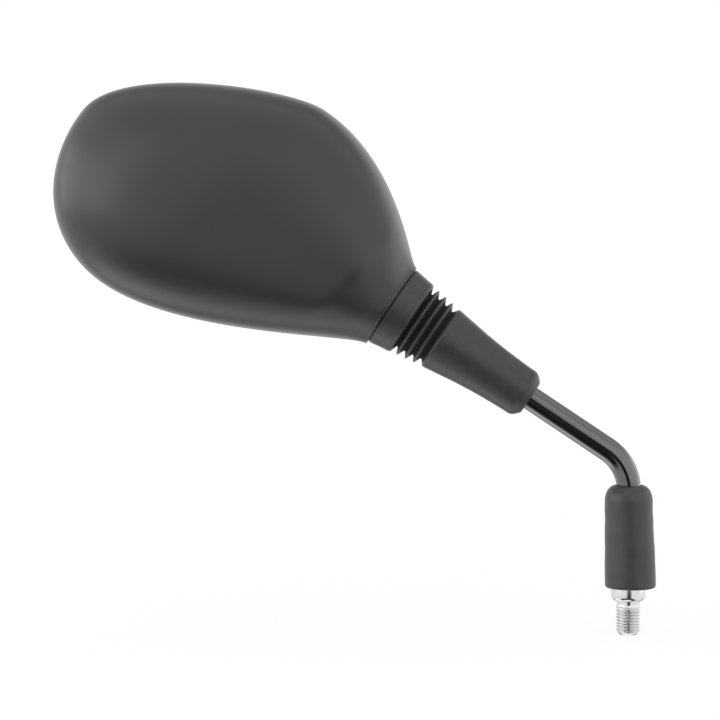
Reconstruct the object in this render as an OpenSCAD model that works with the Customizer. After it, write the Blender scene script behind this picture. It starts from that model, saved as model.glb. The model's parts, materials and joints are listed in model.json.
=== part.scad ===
// Mirror for a scooter or motorcycle, as seen from behind its shell.
// All sizes are millimetres. The origin is the centre of the lower face of
// the collar under the hexagon, on the axis of the stud; Z points up the stud.
// The bend of the arm lies in the XZ plane and the glass faces +Y.

/* [Stud adapter] */
// Diameter of the thread that screws into the handlebar boss
stud_d = 10; // [8:1:12]
// Length of the thread under the collar
stud_len = 14; // [10:1:20]
// Bevel on the free end of the thread
stud_bevel = 1.2; // [0.5:0.1:1.5]
// Width of the hexagon across its flats
hex_af = 14; // [13.5:0.25:14.5]
// Height of the collar and the hexagon together
hex_h = 14; // [12:0.5:16]
// Height of the round collar turned under the hexagon
collar_h = 7; // [6:0.5:9]
// Height of the bevel under that collar
collar_bevel = 1.4; // [0.8:0.1:1.8]
// Solid height left between the collar's face and the arm's bore
hex_floor = 3; // [2:0.5:4]
// Height of the thin nut that locks the arm
jam_h = 5.5; // [4:0.5:7]

/* [Arm] */
// Diameter of the arm's rod
rod_d = 10; // [9:0.5:10.5]
// Height of the corner where the rod's two centre lines meet
corner_z = 55.65; // [54:0.05:80]
// Rise of the upper arm above the horizontal, in degrees
arm_rise = 33.6; // [25:0.2:40]
// Radius of the bend on the rod's centre line
bend_r = 20; // [16:1:21]
// Distance from the corner to the centre of the ball
ball_at = 99.1; // [95:0.1:110]

/* [Base boot] */
// Height of the boot's lower edge over the collar's face
bboot_z = 5.2; // [5:0.2:9]
// Height of the boot's top
bboot_top = 45.5; // [43:0.5:46]
// Radius of the boot near its top
bboot_r_top = 9.8; // [9.7:0.1:10.5]
// Radius of the boot near its lower edge
bboot_r_low = 10.3; // [10.1:0.1:11.5]
// Radius that the top of the boot is rounded with
bboot_dome = 4.8; // [3:0.2:5]

/* [Ball joint] */
// Radius of the ball
ball_r = 7; // [6.5:0.1:7.2]
// Radius of the ball stud's shank
shank_r = 4; // [3.5:0.1:4]
// Outer radius of the socket
socket_r = 10; // [9.8:0.1:10.1]
// Radius of the bore that holds the seat and the springs
socket_bore_r = 8.7; // [8.4:0.1:8.8]
// Outer radius of the socket's thinner end on the rod
socket_tail_r = 7.5; // [7:0.1:8]
// Diameter of the roll pin through socket and rod
pin_d = 3; // [2:0.5:3]
// Length of the roll pin
pin_len = 14.4; // [12:0.2:14.8]
// Thickness of one leg of the disc spring pack
disc_t = 0.8; // [0.5:0.1:1]
// Outer radius of the socket's cap
cap_r = 10.9; // [10.7:0.1:11]
// Radius of the flange on the ball stud
flange_r = 7; // [6:0.2:9]
// Distance from the ball to the near face of that flange
flange_at = 15.5; // [15:0.1:16]
// Thickness of the seat's floor under the ball
seat_floor = 1.4; // [1.2:0.1:1.6]
// Height of the seat above the ball's centre
seat_above = 1.5; // [1:0.1:1.7]
// Thickness of the thrust washer
thrust_t = 1.2; // [0.8:0.1:1.5]
// Distance from the ball to the floor of the socket's chamber
chamber_at = 17.5; // [17:0.1:18]
// Distance from the ball to the rod's upper end
rod_end_at = 21.5; // [20.5:0.1:22]
// Distance from the ball to the roll pin
pin_at = 29.5; // [28.5:0.1:31]
// Distance from the ball to the socket's end on the rod
tail_at = 35.5; // [34:0.1:37]
// Height of the cap's top above the ball's centre
cap_top = 6.5; // [6.2:0.1:7]

/* [Rubber boot] */
// Wall of the sleeve
sleeve_wall = 1.5; // [1.2:0.1:1.6]
// Wall of the folds
fold_wall = 1.3; // [1:0.1:1.4]
// Depth of the folds below their ridges
fold_depth = 2.3; // [1.5:0.1:2.5]
// How much the folds widen from the sleeve to the collar
fold_swell = 2.55; // [2:0.05:3.2]
// Room between the socket's thin end and the sleeve
sleeve_room_low = 1.2; // [1:0.1:1.4]
// Room between the socket's cap and the sleeve's wide end
sleeve_room_top = 1.35; // [1.2:0.05:1.6]
// Wall of the collar where it starts
collar_wall_low = 1.4; // [1.2:0.1:1.8]
// Wall of the collar next to the housing
collar_wall_top = 2.55; // [2.2:0.05:3]
// Distance from the ball to the sleeve's free end
sleeve_reach = 51.7; // [48:0.1:56]
// Distance from the ball to the sleeve's wide end
sleeve_near = 7.6; // [7.4:0.1:8]
// Distance from one fold's ridge to the next
fold_pitch = 3.65; // [3.6:0.05:3.75]

/* [Housing] */
// Step from the rubber collar out to the housing's neck
neck_step = 1.05; // [0.6:0.05:1.5]
// Distance from the ball to the free end of the spigot
spigot_at = 9.5; // [9.3:0.1:10]
// Distance from the ball to the end of the housing's neck
neck_at = 16.7; // [16.5:0.1:17]
// Distance from the neck's end to the floor's near face
floor_in = 1.8; // [1.5:0.1:2.2]
// Distance along the shell from its neck to its deepest point
deep_p = 75; // [65:1:85]
// Depth of the shell behind its rim line at its deepest point
shell_depth = 39; // [34:1:42]
// Distance from the arm's plane to the widest line of the shell
rim_line_y = 11; // [10:0.5:12]
// Height of the rim in front of the widest line
rim_h = 6; // [5:0.5:7]
// Wall of the shell
shell_wall = 3; // [2.5:0.1:3.2]
// Width of the rim around the glass
rim_w = 3.6; // [3.2:0.1:4.5]
// Outer radius of the spigot that holds the rubber collar
spigot_r = 14.6; // [14.2:0.1:14.8]
// Inner radius of the spigot
spigot_bore_r = 12; // [11.5:0.1:12.5]
// Thickness of the floor that the ball stud is bolted to
neck_floor = 4; // [3:0.5:5]
// Radius of the four bosses for the plate's screws
boss_r = 3.5; // [3:0.1:4]
// Thickness of the flat washer on the ball stud
washer_t = 1.6; // [1:0.1:2]
// Thickness of the lock washer on the ball stud
lock_t = 2; // [1.5:0.1:2.5]
// Height of the nut on the ball stud
nut_h = 6.5; // [5:0.1:7]
// Width of that nut across its flats
nut_af = 13; // [12:0.1:14]

/* [Glass] */
// Distance from the arm's plane to the front of the glass at its middle
glass_y = 15.5; // [15:0.1:16]
// Distance from the arm's plane to the back of the backing plate
plate_y = 8.6; // [8:0.1:9]
// Thickness of the backing plate
plate_t = 2; // [1.5:0.1:2]
// Thickness of the mirror glass
glass_t = 2; // [1.8:0.1:2.2]
// Radius of the glass's curve divided by two hundred
glass_curve = 6; // [5:0.5:8]
// Room between the glass and the wall of its pocket
glass_room = 0.6; // [0.3:0.1:1]
// Diameter of the plate's screws
screw_d = 2.8; // [2.5:0.1:3]
// Length of the plate's screws
screw_len = 10; // [8:1:12]

/* [Hidden] */
// Gap between pieces that move past each other
gap = 0.3;
// Running clearance of turned fits
run = 0.05;
// Clearance of pieces bolted or pressed together
seat = 0.02;
// Smoothness of round pieces
fine = 64;
// Derived sizes
rod_r = rod_d / 2;
hex_cr = hex_af / 2 / cos(30);
bboot_in = hex_cr + gap;
turn = 90 - arm_rise;
tangent = bend_r * tan(turn / 2);
sleeve_r_low = socket_tail_r + sleeve_room_low + sleeve_wall;
sleeve_r_top = cap_r + sleeve_room_top + sleeve_wall;
collar_r_low = spigot_r + gap + collar_wall_low;
collar_r_top = spigot_r + gap + collar_wall_top;
neck_r = collar_r_top + neck_step;
seat_low = ball_r + seat_floor;
thrust_low = seat_low + gap + thrust_t;
floor_w = neck_at + floor_in;
face_w = floor_w + neck_floor;
shank_end = face_w + washer_t + lock_t + nut_h + stud_bevel;
lens_p = 80;
lens_q = -4;
lens_r = glass_curve * 200;

// Corner points of the two rails that bound the shell, as seen from behind
up_a = [0, neck_r - 0.2];
up_b = [5.6, 18.5];
up_c = [30, 50.7];
up_d = [68, 50.7];
up_e = [84.4, 50.7];
up_f = [151.1, 19.9];
tip = [151.1, -5.8];
low_a = [0, -neck_r - 0.2];
low_b = [6.3, -18.9];
low_c = [64.6, -59.1];
low_d = [103.8, -59.1];
low_e = [129.3, -59.1];
low_f = [151.1, -40.2];

// Where the four plate screws stand
screw_at = [[42, 22], [50, -26], [112, 20], [118, -36]];

function bez(a, b, c, d, t) =
  a * pow(1 - t, 3) + b * 3 * t * pow(1 - t, 2) + c * 3 * t * t * (1 - t) + d * t * t * t;
function dbez(a, b, c, d, t) =
  (b - a) * pow(1 - t, 2) + (c - b) * 2 * t * (1 - t) + (d - c) * t * t;
function up(t) = t < 0.5 ? bez(up_a, up_b, up_c, up_d, 2 * t) : bez(up_d, up_e, up_f, tip, 2 * t - 1);
function low(t) = t < 0.5 ? bez(low_a, low_b, low_c, low_d, 2 * t) : bez(low_d, low_e, low_f, tip, 2 * t - 1);
function dup(t) = t < 0.5 ? dbez(up_a, up_b, up_c, up_d, 2 * t) : dbez(up_d, up_e, up_f, tip, 2 * t - 1);
function dlow(t) = t < 0.5 ? dbez(low_a, low_b, low_c, low_d, 2 * t) : dbez(low_d, low_e, low_f, tip, 2 * t - 1);
function unit(v) = v / norm(v);
function up_in(t, d) = up(t) + d * [unit(dup(t))[1], -unit(dup(t))[0]];
function low_in(t, d) = low(t) + d * [-unit(dlow(t))[1], unit(dlow(t))[0]];
function smooth(x) = x <= 0 ? 0 : x >= 1 ? 1 : x * x * (3 - 2 * x);
// How far the ring at t has changed from the round neck to the wide body
function body_share(t) = smooth(t / 0.2);
function mix(a, b, k) = a + (b - a) * k;
function fall(x, n) = x <= 0 ? 1 : x >= 1 ? 0 : pow(1 - pow(x, n), 1 / n);
// Depth behind the widest line, full near the middle and round at the tip
function back_d(t, p) = mix(neck_r, shell_depth * fall((p - deep_p) / (tip[0] - deep_p), 2.5), body_share(t));
function back_n(t) = mix(2, 2.35, body_share(t));
function line_y(t) = mix(0, rim_line_y, body_share(t));
function front_h(t, p) = mix(neck_r, rim_h * fall((p - tip[0] + rim_h) / rim_h, 2.5), body_share(t));
function front_n(t) = mix(2, 3.6, body_share(t));
function sgn_pow(x, n) = x < 0 ? -pow(-x, n) : pow(x, n);
// One ring of the shell, drawn in by d on every side
function ring(t, d, count) =
  let (u = up_in(t, d), l = low_in(t, d), c = (u + l) / 2, h = (u - l) / 2,
       back = back_d(t, c[0]) - d, front = max(front_h(t, c[0]) - d, 0.4),
       bn = back_n(t), fn = front_n(t), y0 = line_y(t))
  [for (i = [0 : count - 1])
    let (a = 360 * i / count, s = sin(a), n = s > 0 ? fn : bn,
         k = sgn_pow(cos(a), 2 / n), y = s > 0 ? front * pow(s, 2 / n) : -back * pow(-s, 2 / n))
    [c[1] + k * h[1], y0 + y, c[0] + k * h[0]]];

function stations(a, b, n) = [for (i = [0 : n]) a + (b - a) * i / n];
function ring_faces(rows, count) =
  [for (j = [0 : rows - 2], i = [0 : count - 1]) each
    let (i2 = (i + 1) % count, a = j * count + i, b = j * count + i2,
         c = (j + 1) * count + i2, d = (j + 1) * count + i)
    [[a, c, b], [a, d, c]]];

// Outline of the glass pocket, drawn in by d from the shell's outline
function pocket(d) =
  let (ta = 0.225, tb = 0.19, n = 22,
       lp = low_in(tb, d), ld = unit(dlow(tb)), ap = up_in(ta, d), ad = unit(dup(ta)))
  concat(
    [for (i = [0 : n]) up_in(ta + (0.985 - ta) * i / n, d)],
    [for (i = [0 : n]) low_in(0.985 - (0.985 - tb) * i / n, d)],
    [for (i = [1 : 11]) bez(lp, lp - 24 * ld, ap - 24 * ad, ap, i / 12)]);
function as_qy(list) = [for (v = list) [v[1], v[0]]];

// Puts a piece on the upper arm's axis, measured from the ball's centre
module on_arm() {
  translate([0, 0, corner_z])
    rotate([0, -turn, 0])
      translate([0, 0, ball_at])
        children();
}

// Puts a piece in the shell: X across, Y out of the glass, Z from the neck
module in_shell() {
  on_arm()
    translate([0, 0, neck_at])
      children();
}

// Hexagonal prism with both ends bevelled like a turned nut
module hexagon(af, h, bevel) {
  intersection() {
    cylinder(h = h, d = af / cos(30), $fn = 6);
    rotate_extrude($fn = fine)
      polygon([[0, 0], [af / 2 - 0.1, 0], [af / 2 + bevel + 0.4, bevel],
               [af / 2 + bevel + 0.4, h - bevel], [af / 2 - 0.1, h], [0, h]]);
  }
}

module threaded_stud() {
  color([0.78, 0.79, 0.80])
    difference() {
      union() {
        translate([0, 0, collar_h - 0.5])
          hexagon(hex_af, hex_h - collar_h + 0.5, 0.8);
        rotate_extrude($fn = fine)
          polygon([[0, 0], [hex_af / 2 - collar_bevel * 0.7, 0], [hex_af / 2, collar_bevel],
                   [hex_af / 2, collar_h], [0, collar_h]]);
        rotate_extrude($fn = fine)
          polygon([[0, 0.5], [stud_d / 2, 0.5], [stud_d / 2, -stud_len + stud_bevel],
                   [stud_d / 2 - stud_bevel, -stud_len], [0, -stud_len]]);
      }
      translate([0, 0, hex_floor])
        cylinder(h = hex_h, r = rod_r + run, $fn = fine);
    }
}

module jam_nut() {
  color([0.70, 0.71, 0.72])
    translate([0, 0, hex_h + gap])
      difference() {
        hexagon(hex_af, jam_h, 0.6);
        translate([0, 0, -1])
          cylinder(h = jam_h + 2, r = rod_r + seat, $fn = fine);
      }
}

module arm_rod() {
  color([0.05, 0.05, 0.05])
    difference() {
      union() {
        rotate_extrude($fn = fine)
          polygon([[0, hex_floor + 0.5], [rod_r - 1, hex_floor + 0.5], [rod_r, hex_floor + 1.5],
                   [rod_r, corner_z - tangent], [0, corner_z - tangent]]);
        translate([-bend_r, 0, corner_z - tangent])
          rotate([90, 0, 0])
            rotate([0, 0, -0.5])
              rotate_extrude(angle = turn + 1, $fn = fine)
                translate([bend_r, 0])
                  circle(r = rod_r - 0.003, $fn = fine);
        translate([0, 0, corner_z])
          rotate([0, -turn, 0])
            translate([0, 0, tangent])
              cylinder(h = ball_at - rod_end_at - tangent, r = rod_r, $fn = fine);
      }
      on_arm()
        translate([0, 0, -pin_at])
          rotate([90, 0, 0])
            cylinder(h = 40, r = pin_d / 2 + seat, center = true, $fn = 32);
    }
}

module base_boot() {
  d = bboot_dome;
  zt = bboot_top;
  color([0.10, 0.10, 0.10])
    rotate_extrude($fn = fine)
      polygon(concat(
        [[bboot_in, bboot_z], [bboot_r_low - 1, bboot_z], [bboot_r_low - 0.3, bboot_z + 0.3],
         [bboot_r_low, bboot_z + 1], [bboot_r_low, bboot_z + 7],
         [mix(bboot_r_low, bboot_r_top, 0.6), bboot_z + 18], [bboot_r_top, bboot_z + 28]],
        [for (a = [0 : 15 : 75]) [bboot_r_top - d + d * cos(a), zt - d + d * sin(a)]],
        [[rod_r + gap, zt], [rod_r + gap, zt - 3], [bboot_in, zt - 6]]));
}

module socket_body() {
  color([0.45, 0.46, 0.48])
    on_arm()
      difference() {
        rotate_extrude($fn = fine)
          polygon([[rod_r + seat, -tail_at], [socket_tail_r - 0.5, -tail_at], [socket_tail_r, -tail_at + 0.5],
                   [socket_tail_r, -chamber_at - 8], [socket_r, -chamber_at - 2], [socket_r, cap_top - 2.1],
                   [socket_bore_r, cap_top - 2.1], [socket_bore_r, -chamber_at], [0, -chamber_at],
                   [0, -rod_end_at + 0.1], [rod_r + seat, -rod_end_at + 0.1]]);
        translate([0, 0, -pin_at])
          rotate([90, 0, 0])
            cylinder(h = 40, r = pin_d / 2 + seat, center = true, $fn = 32);
      }
}

module roll_pin() {
  color([0.50, 0.50, 0.52])
    on_arm()
      translate([0, 0, -pin_at])
        rotate([90, 0, 0])
          difference() {
            cylinder(h = pin_len, r = pin_d / 2, center = true, $fn = 32);
            cylinder(h = pin_len + 2, r = pin_d / 2 - 0.6, center = true, $fn = 32);
            translate([0, -0.3, -pin_len])
              cube([pin_d, 0.6, pin_len * 2]);
          }
}

module preload_spring() {
  low = -chamber_at + run + disc_t / 2;
  high = -thrust_low - run - disc_t / 2;
  zig = [for (i = [0 : 4]) [i % 2 == 0 ? socket_bore_r - gap : socket_bore_r - 4.1, mix(low, high, i / 4)]];
  up_t = [0, disc_t / 2];
  color([0.60, 0.61, 0.63])
    on_arm()
      union()
        for (i = [0 : 3])
          rotate_extrude($fn = fine)
            polygon([zig[i] - up_t, zig[i + 1] - up_t, zig[i + 1] + up_t, zig[i] + up_t]);
}

module thrust_washer() {
  color([0.62, 0.62, 0.64])
    on_arm()
      translate([0, 0, -thrust_low])
        difference() {
          cylinder(h = thrust_t, r = socket_bore_r - 0.2, $fn = fine);
          translate([0, 0, -1])
            cylinder(h = 4, r = 2, $fn = 32);
        }
}

module ball_seat() {
  color([0.88, 0.87, 0.82])
    on_arm()
      difference() {
        translate([0, 0, -seat_low])
          cylinder(h = seat_low + seat_above, r = socket_bore_r - run, $fn = fine);
        sphere(r = ball_r + run, $fn = fine);
      }
}

module socket_cap() {
  color([0.45, 0.46, 0.48])
    on_arm()
      difference() {
        rotate_extrude($fn = fine)
          polygon([[0, seat_above + 0.4], [socket_bore_r - run, seat_above + 0.4],
                   [socket_bore_r - run, cap_top - 2.08], [socket_r + seat, cap_top - 2.08],
                   [socket_r + seat, -0.2], [cap_r, -0.2],
                   [cap_r, cap_top - 0.6], [cap_r - 0.6, cap_top], [0, cap_top]]);
        sphere(r = ball_r + run, $fn = fine);
        translate([0, 0, cap_top - 2.6])
          cylinder(h = 2.8, r1 = ball_r - 1.2, r2 = ball_r + 0.9, $fn = fine);
        for (a = [0, 180])
          rotate([0, 0, a])
            translate([9.2, 0, cap_top - 1.2])
              cylinder(h = 3, r = 0.8, $fn = 24);
      }
}

module rubber_boot() {
  sw = sleeve_wall;
  fw = fold_wall;
  fd = fold_depth;
  r1 = sleeve_r_top + fold_swell * 0.24;
  r2 = sleeve_r_top + fold_swell * 0.47;
  r3 = sleeve_r_top + fold_swell * 0.67;
  rl = sleeve_r_low;
  rt = sleeve_r_top;
  lip = rod_r + gap;
  e = -sleeve_reach;
  n = -sleeve_near;
  f = fold_pitch;
  c = spigot_r + gap;
  top = neck_at - 0.65;
  cf = spigot_at - 2;
  out = [[lip, e], [rl - 3.3, e], [rl - 2.8, e + 0.3], [rl - 2.6, e + 0.9], [rl - 0.3, e + 3.6],
         [rl, e + 4.3], [rl, e + 7.8], [mix(rl, rt, 0.07), mix(e, n, 0.29)],
         [mix(rl, rt, 0.14), mix(e, n, 0.4)], [mix(rl, rt, 0.25), mix(e, n, 0.51)],
         [mix(rl, rt, 0.46), mix(e, n, 0.68)], [mix(rl, rt, 0.75), mix(e, n, 0.845)],
         [rt - 0.05, n - 0.6], [rt, n], [rt - 0.2, n + 0.5],
         [r1 - fd, -1.53 * f], [r1 - fd, -1.37 * f], [r1 - 0.3, -1.12 * f], [r1, -1.01 * f],
         [r1, -0.9 * f], [r1 - 0.3, -0.79 * f], [r2 - fd, -0.57 * f], [r2 - fd, -0.39 * f],
         [r2 - 0.3, -0.13 * f], [r2, -0.03 * f], [r2, 0.08 * f], [r2 - 0.3, 0.19 * f],
         [r3 - fd, 0.44 * f], [r3 - fd, 0.6 * f], [r3 - 0.3, 0.88 * f], [r3, 0.99 * f],
         [r3, 1.1 * f], [r3 - 0.3, 1.21 * f], [r3 - fd + 0.2, 1.42 * f], [r3 - fd + 0.2, 1.56 * f],
         [collar_r_low - 0.5, cf - 0.8], [collar_r_low, cf],
         [mix(collar_r_low, collar_r_top, 0.25), cf + 2.5], [collar_r_top, top - 0.45],
         [collar_r_top - 0.4, top]];
  inn = [[c, top], [c, top - 3.85], [c + 0.5, top - 4.15], [c + 0.5, top - 5.85], [c, top - 6.15],
         [c, spigot_at - 0.5], [r3 - fd - fw + 0.1, cf - 0.8], [r3 - fd - fw + 0.1, 1.31 * f],
         [r3 - 1.7, 1.04 * f], [r3 - fd - fw, 0.68 * f], [r3 - fd - fw, 0.36 * f],
         [r2 - 1.7, 0.03 * f], [r2 - fd - fw, -0.3 * f], [r2 - fd - fw, -0.66 * f],
         [r1 - 1.7, -0.96 * f], [r1 - fd - fw, -1.29 * f], [r1 - fd - fw, n + 1.4],
         [rt - sw, n - 0.8], [mix(rl, rt, 0.75) - sw, mix(e, n, 0.845)],
         [mix(rl, rt, 0.46) - sw, mix(e, n, 0.68)], [mix(rl, rt, 0.25) - sw, mix(e, n, 0.51)],
         [mix(rl, rt, 0.07) - sw, mix(e, n, 0.29)], [rl - sw, e + 7.8], [rl - sw, e + 4.1],
         [lip, e + 2]];
  color([0.10, 0.10, 0.10])
    on_arm()
      rotate_extrude($fn = fine)
        polygon(concat(out, inn));
}

module ball_stud() {
  color([0.66, 0.67, 0.69])
    on_arm()
      union() {
        sphere(r = ball_r, $fn = fine);
        cylinder(h = shank_end - 0.8, r = shank_r, $fn = fine);
        translate([0, 0, shank_end - 0.9])
          cylinder(h = 0.9, r1 = shank_r, r2 = shank_r - 0.9, $fn = fine);
        translate([0, 0, flange_at])
          cylinder(h = floor_w - seat - flange_at, r = flange_r, $fn = fine);
      }
}

module stud_washer() {
  color([0.70, 0.71, 0.73])
    on_arm()
      translate([0, 0, face_w + seat])
        difference() {
          cylinder(h = washer_t, r = shank_r * 2, $fn = fine);
          translate([0, 0, -1])
            cylinder(h = 4, r = shank_r + 0.2, $fn = fine);
        }
}

module lock_washer() {
  color([0.58, 0.59, 0.61])
    on_arm()
      translate([0, 0, face_w + washer_t + 2 * seat])
        difference() {
          cylinder(h = lock_t, r = shank_r * 1.7, $fn = fine);
          translate([0, 0, -1])
            cylinder(h = 4, r = shank_r + 0.15, $fn = fine);
          translate([0, -0.4, -1])
            cube([10, 0.8, 4]);
        }
}

module stud_nut() {
  color([0.70, 0.71, 0.73])
    on_arm()
      translate([0, 0, face_w + washer_t + lock_t + 3 * seat])
        difference() {
          hexagon(nut_af, nut_h, 0.7);
          translate([0, 0, -1])
            cylinder(h = nut_h + 2, r = shank_r + seat, $fn = fine);
        }
}

// Upright prism in the shell with an outline given as [across, from neck]
module plate_prism(outline, y0, y1) {
  translate([0, y0, 0])
    rotate([-90, 0, 0])
      scale([1, -1, 1])
        linear_extrude(height = y1 - y0)
          polygon(outline);
}

module shell_outside() {
  n = 38;
  m = 52;
  ts = stations(0, 0.985, n);
  pts = concat([for (t = ts) each ring(t, 0, m)], [[tip[1], line_y(1), tip[0]]]);
  polyhedron(
    points = pts,
    faces = concat(
      [[for (i = [0 : m - 1]) i]],
      ring_faces(n + 1, m),
      [for (i = [0 : m - 1]) [n * m + (i + 1) % m, n * m + i, (n + 1) * m]]));
}

module shell_inside() {
  n = 20;
  m = 32;
  ts = stations(0.1, 0.965, n);
  pts = [for (t = ts) each ring(t, shell_wall, m)];
  polyhedron(
    points = pts,
    faces = concat(
      [[for (i = [0 : m - 1]) i]],
      ring_faces(n + 1, m),
      [[for (i = [m - 1 : -1 : 0]) n * m + i]]));
}

module housing_shell() {
  color([0.11, 0.11, 0.11]) {
    difference() {
      union() {
        in_shell()
          shell_outside();
        on_arm()
          rotate_extrude($fn = fine)
            polygon([[spigot_bore_r - 1, spigot_at], [spigot_r - 0.3, spigot_at], [spigot_r, spigot_at + 0.3],
                     [spigot_r, neck_at - 6.4], [spigot_r + 0.4, neck_at - 6.1],
                     [spigot_r + 0.4, neck_at - 5.3], [spigot_r, neck_at - 4.9],
                     [spigot_r, neck_at + 0.5], [spigot_bore_r - 1, neck_at + 0.5]]);
      }
      in_shell()
        difference() {
          shell_inside();
          for (s = screw_at)
            translate([s[1], 0, s[0]])
              rotate([90, 0, 0])
                cylinder(h = 80, r = boss_r, center = true, $fn = 32);
        }
      in_shell()
        plate_prism(as_qy(pocket(rim_w)), plate_y, 40);
      in_shell()
        for (s = screw_at)
          translate([s[1], plate_y - screw_len - 1, s[0]])
            rotate([-90, 0, 0])
              cylinder(h = 40, r = screw_d / 2 - 0.05 + 0.1, $fn = 24);
      on_arm()
        translate([0, 0, spigot_at - 1])
          cylinder(h = floor_w - spigot_at + 1, r = spigot_bore_r, $fn = fine);
      on_arm()
        translate([0, 0, floor_w - 1])
          cylinder(h = 20, r = shank_r + 0.15, $fn = fine);
      on_arm()
        translate([0, 0, face_w])
          cylinder(h = 20, r = 9.5, $fn = fine);
    }
  }
}

module backing_plate() {
  color([0.16, 0.16, 0.17])
    in_shell()
      difference() {
        plate_prism(as_qy(pocket(rim_w + glass_room)), plate_y + seat, plate_y + plate_t);
        for (s = screw_at)
          translate([s[1], plate_y, s[0]])
            rotate([-90, 0, 0]) {
              translate([0, 0, -1])
                cylinder(h = 5, r = screw_d / 2 + 0.1, $fn = 32);
              translate([0, 0, plate_t - 1.4])
                cylinder(h = 1.41, r1 = screw_d / 2 + 0.1, r2 = 2.9, $fn = 32);
            }
      }
}

module plate_screw(i) {
  s = screw_at[i];
  color([0.72, 0.73, 0.75])
    in_shell()
      translate([s[1], plate_y, s[0]])
        rotate([-90, 0, 0])
          difference() {
            union() {
              translate([0, 0, plate_t - screw_len])
                cylinder(h = screw_len - 1.4, r = screw_d / 2, $fn = 32);
              translate([0, 0, plate_t - screw_len - 1])
                cylinder(h = 1, r1 = 0.3, r2 = screw_d / 2, $fn = 32);
              translate([0, 0, plate_t - 1.41])
                cylinder(h = 1.36, r1 = screw_d / 2, r2 = 2.75, $fn = 32);
            }
            translate([-1.5, -0.3, plate_t - 0.8])
              cube([3, 0.6, 2]);
            translate([-0.3, -1.5, plate_t - 0.8])
              cube([0.6, 3, 2]);
          }
}

module plate_screw_1() {
  plate_screw(0);
}

module plate_screw_2() {
  plate_screw(1);
}

module plate_screw_3() {
  plate_screw(2);
}

module plate_screw_4() {
  plate_screw(3);
}

// Domed body of revolution between two levels, centred on the glass
module dome(y_front, y_flat) {
  translate([lens_q, 0, lens_p])
    rotate([-90, 0, 0])
      rotate_extrude($fn = fine)
        polygon(concat(
          [[0, y_flat], [100, y_flat]],
          [for (r = [100 : -10 : 0]) [r, y_front - lens_r + sqrt(lens_r * lens_r - r * r)]]));
}

module glass_foam() {
  color([0.80, 0.78, 0.72])
    in_shell()
      intersection() {
        plate_prism(as_qy(pocket(rim_w + glass_room + 2)), plate_y, 30);
        dome(glass_y - glass_t - seat, plate_y + plate_t + seat);
      }
}

module mirror_glass() {
  color([0.75, 0.80, 0.84])
    in_shell()
      intersection() {
        plate_prism(as_qy(pocket(rim_w + glass_room)), plate_y, 30);
        difference() {
          dome(glass_y, 0);
          dome(glass_y - glass_t, -1);
        }
      }
}

threaded_stud();
jam_nut();
arm_rod();
base_boot();
socket_body();
roll_pin();
preload_spring();
thrust_washer();
socket_cap();
ball_seat();
rubber_boot();
ball_stud();
stud_washer();
lock_washer();
stud_nut();
housing_shell();
backing_plate();
plate_screw_1();
plate_screw_2();
plate_screw_3();
plate_screw_4();
glass_foam();
mirror_glass();
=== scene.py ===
"""Looks of a scooter mirror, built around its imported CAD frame.

All lengths are metres, in the frame of the CAD part: the origin is the centre
of the lower face of the stud's collar, Z points up the stud, the glass faces +Y.
"""

import json
import math

import bpy
import numpy as np
from bpy.props import FloatProperty, FloatVectorProperty, IntProperty, PointerProperty
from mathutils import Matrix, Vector


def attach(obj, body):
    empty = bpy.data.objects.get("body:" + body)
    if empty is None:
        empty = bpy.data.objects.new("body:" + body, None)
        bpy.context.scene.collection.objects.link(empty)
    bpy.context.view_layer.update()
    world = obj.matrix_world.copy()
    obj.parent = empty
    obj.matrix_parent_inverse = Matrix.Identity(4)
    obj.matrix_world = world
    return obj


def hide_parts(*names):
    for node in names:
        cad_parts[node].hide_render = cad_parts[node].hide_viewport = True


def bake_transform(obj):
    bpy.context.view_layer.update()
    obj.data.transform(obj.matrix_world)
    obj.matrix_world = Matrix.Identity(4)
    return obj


bl_info = {
    "name": "Scooter Mirror",
    "version": (1, 0, 0),
    "blender": (4, 5, 0),
    "location": "3D View > Sidebar > Mirror",
    "description": "Builds the shell, boots, arm, stud, glass and finishes of a scooter mirror",
    "category": "Object",
}

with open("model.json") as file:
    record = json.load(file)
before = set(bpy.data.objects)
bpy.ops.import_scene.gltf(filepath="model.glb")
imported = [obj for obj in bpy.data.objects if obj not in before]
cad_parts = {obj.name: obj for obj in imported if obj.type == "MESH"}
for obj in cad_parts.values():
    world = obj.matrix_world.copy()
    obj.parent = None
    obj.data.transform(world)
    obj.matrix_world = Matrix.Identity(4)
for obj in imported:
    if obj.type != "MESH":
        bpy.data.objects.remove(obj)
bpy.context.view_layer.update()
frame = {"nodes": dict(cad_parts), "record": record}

MM = 0.001
SAME_POINT = 1e-6
ROD_R = 0.005
BEND_R = 0.020
CORNER = Vector((0.0, 0.0, 0.05565))  # where the rod's two straight axes meet
TURN = math.radians(56.4)
ARM = Vector((-math.sin(TURN), 0.0, math.cos(TURN)))
ACROSS = Vector((math.cos(TURN), 0.0, math.sin(TURN)))
OUT = Vector((0.0, 1.0, 0.0))
BALL = CORNER + ARM * 0.0991  # centre of the ball joint
NECK = BALL + ARM * 0.0167  # where the shell's neck starts


# Sizes and colours that a user would change


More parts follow.
